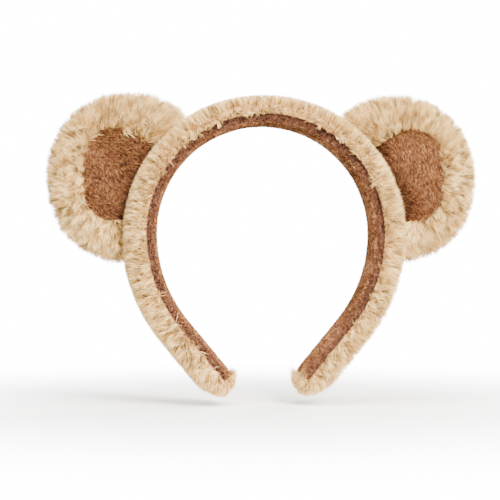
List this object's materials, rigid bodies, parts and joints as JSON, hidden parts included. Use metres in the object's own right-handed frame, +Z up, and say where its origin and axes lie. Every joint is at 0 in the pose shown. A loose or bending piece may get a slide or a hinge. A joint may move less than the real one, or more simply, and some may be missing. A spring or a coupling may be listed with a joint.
{
  "type": "animal ears headband",
  "caption": "Plush headband with a padded, fur-covered spring hoop, velour lining and two stuffed round animal ears.",
  "frame": {"origin": "middle of the crown's inner face, where the band rests on the top of the head", "axes": "+Z up, +X towards the wearer's left ear piece (viewer's right), -Y to the front, where the ears' inner patches face"},
  "size_m": [0.219, 0.032, 0.1555],
  "materials": {
    "tan_fur": "long soft faux-fur pile, matte",
    "brown_velour": "short brushed velour pile, matte with a soft nap",
    "hoop_plastic": "injection-moulded polypropylene, satin",
    "foam_padding": "soft wadding",
    "fibre_stuffing": "loose polyester fibre",
    "tan_thread": "polyester sewing thread",
    "brown_thread": "polyester sewing thread"
  },
  "bodies": {
    "crown": {"crown_lining": "brown_velour", "crown_hoop": "hoop_plastic", "crown_padding": "foam_padding", "crown_fur": "tan_fur", "crown_front_seam": "brown_thread", "crown_rear_seam": "brown_thread"},
    "left_arm": {"left_arm_lining": "brown_velour", "left_arm_hoop": "hoop_plastic", "left_arm_padding": "foam_padding", "left_arm_fur": "tan_fur", "left_arm_front_seam": "brown_thread", "left_arm_rear_seam": "brown_thread", "left_tip_seam": "brown_thread", "left_ear_root_seam": "tan_thread"},
    "left_ear": {"left_ear_front_fur": "tan_fur", "left_ear_rear_fur": "tan_fur", "left_ear_rim_seam": "tan_thread", "left_ear_stuffing": "fibre_stuffing", "left_ear_patch": "brown_velour", "left_ear_patch_seam": "brown_thread"},
    "right_arm": {"right_arm_lining": "brown_velour", "right_arm_hoop": "hoop_plastic", "right_arm_padding": "foam_padding", "right_arm_fur": "tan_fur", "right_arm_front_seam": "brown_thread", "right_arm_rear_seam": "brown_thread", "right_tip_seam": "brown_thread", "right_ear_root_seam": "tan_thread"},
    "right_ear": {"right_ear_front_fur": "tan_fur", "right_ear_rear_fur": "tan_fur", "right_ear_rim_seam": "tan_thread", "right_ear_stuffing": "fibre_stuffing", "right_ear_patch": "brown_velour", "right_ear_patch_seam": "brown_thread"}
  },
  "joints": [
    {"name": "left_arm_flex", "type": "hinge", "parent": "crown", "child": "left_arm", "pos_m": [-0.02276, 0, 0.01281], "axis": [0, 1, 0], "range_deg": [-4, 18], "stiffness_Nm_per_rad": 0.8},
    {"name": "right_arm_flex", "type": "hinge", "parent": "crown", "child": "right_arm", "pos_m": [0.02276, 0, 0.01281], "axis": [0, -1, 0], "range_deg": [-4, 18], "stiffness_Nm_per_rad": 0.8},
    {"name": "left_ear_flop", "type": "hinge", "parent": "left_arm", "child": "left_ear", "pos_m": [-0.06764, 0.002, -0.027], "axis": [0.3883, 0, 0.9215], "range_deg": [-20, 20], "stiffness_Nm_per_rad": 0.05},
    {"name": "right_ear_flop", "type": "hinge", "parent": "right_arm", "child": "right_ear", "pos_m": [0.06764, 0.002, -0.027], "axis": [0.3883, 0, -0.9215], "range_deg": [-20, 20], "stiffness_Nm_per_rad": 0.05}
  ]
}
